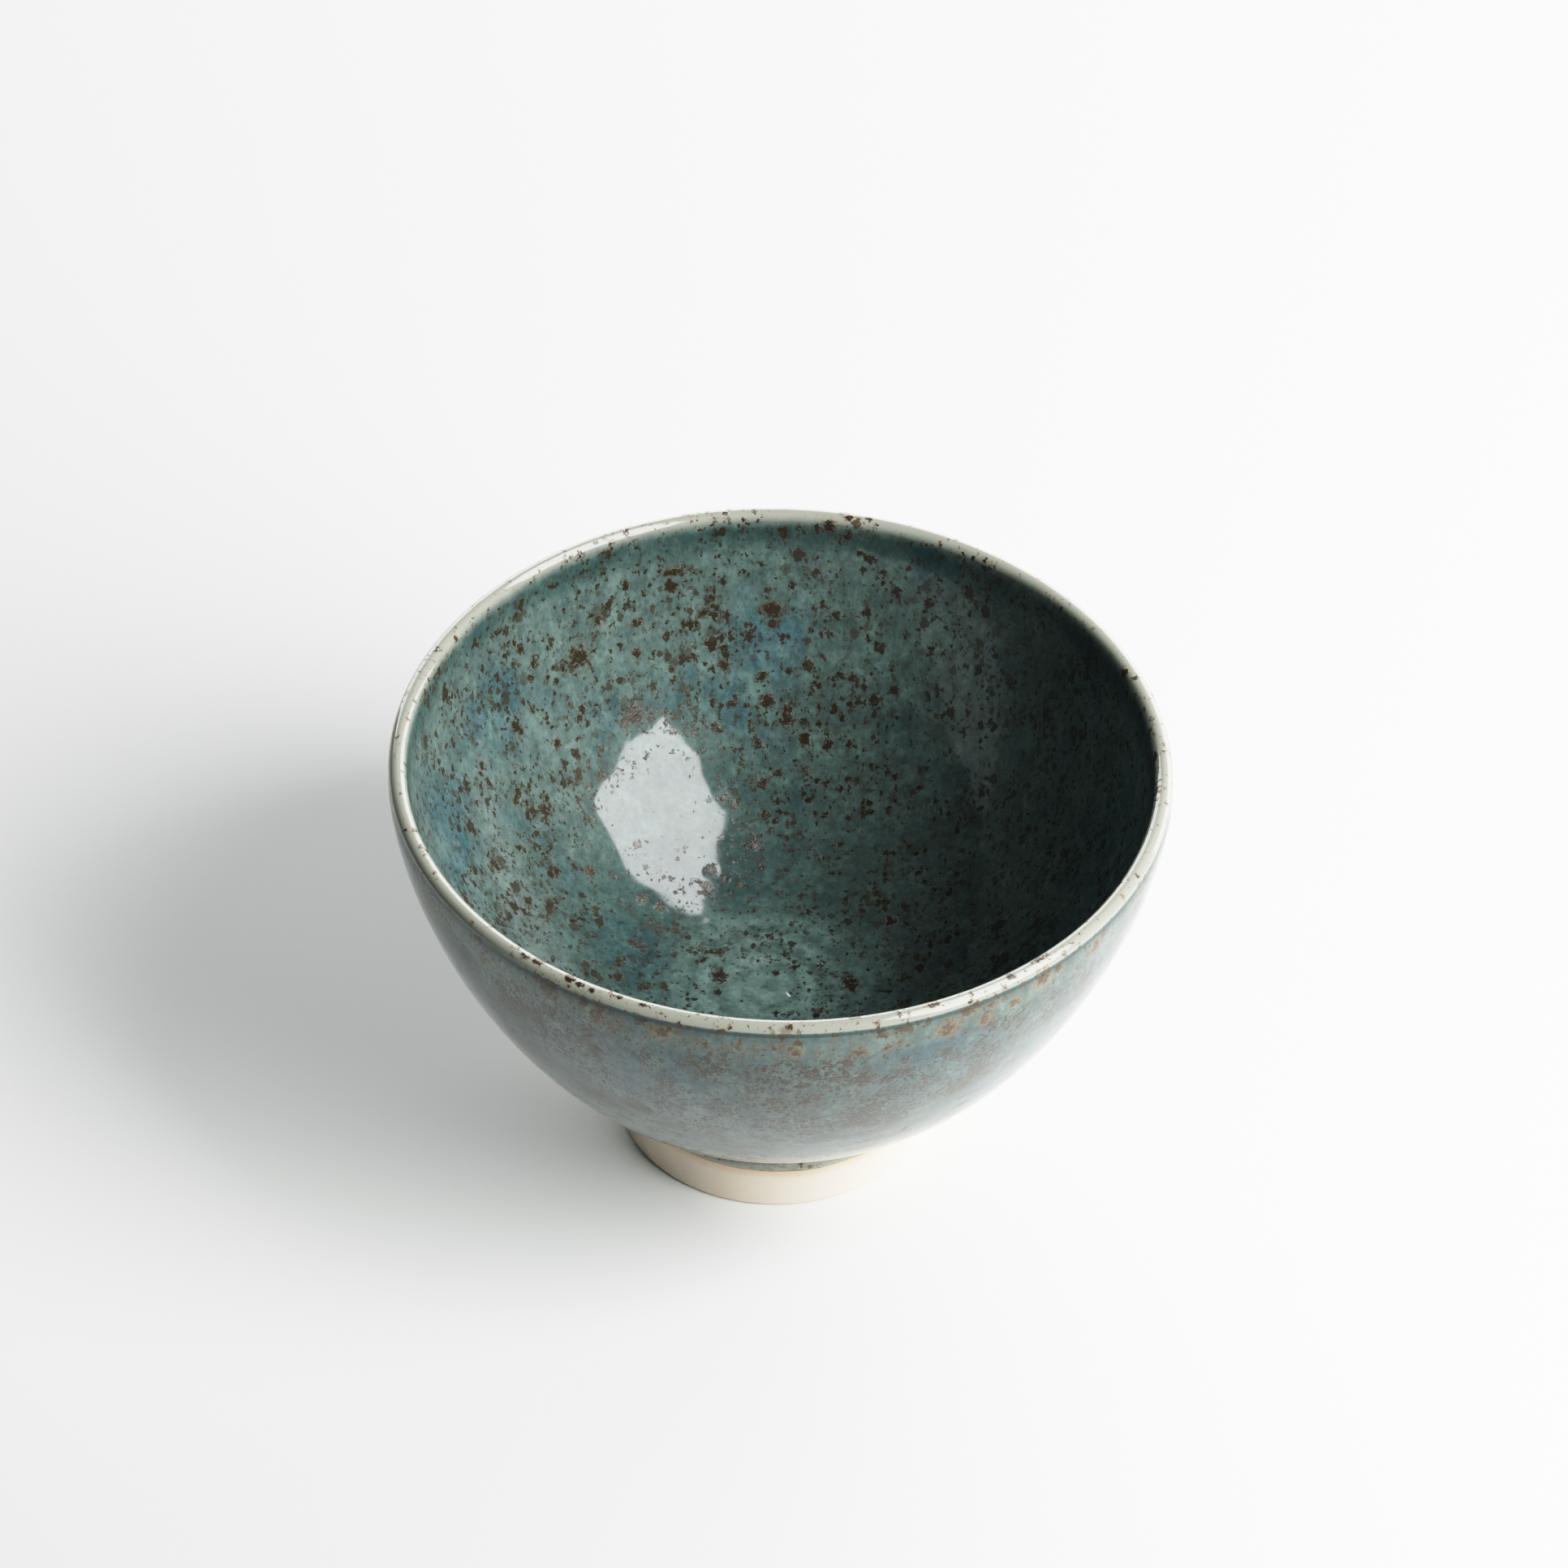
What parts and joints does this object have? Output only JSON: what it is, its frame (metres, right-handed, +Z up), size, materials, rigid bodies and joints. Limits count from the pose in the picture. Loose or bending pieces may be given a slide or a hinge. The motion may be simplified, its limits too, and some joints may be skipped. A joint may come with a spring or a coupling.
{
  "type": "tea bowl",
  "caption": "Wheel-thrown tea bowl with a thin rounded lip, a deep curved inside for drinking, speckled blue-green glaze and a bare turned foot ring to stand on.",
  "frame": {"origin": "middle of the foot, on the table", "axes": "+Z up along the axis the bowl was turned on, -Y towards the viewer, +X to the viewer's right"},
  "size_m": [0.1202, 0.1202, 0.0737],
  "materials": {
    "bare_clay": "smooth turned clay, fired, unglazed, matt",
    "wall_glaze": "gloss blue-green glaze with brown iron specks",
    "rim_glaze": "thin pale gloss glaze with fine dark specks"
  },
  "bodies": {
    "root": {"clay_bowl": "bare_clay", "foot_ring": "bare_clay", "outside_glaze": "wall_glaze", "rim_glaze": "rim_glaze", "inside_glaze": "wall_glaze"}
  },
  "joints": []
}
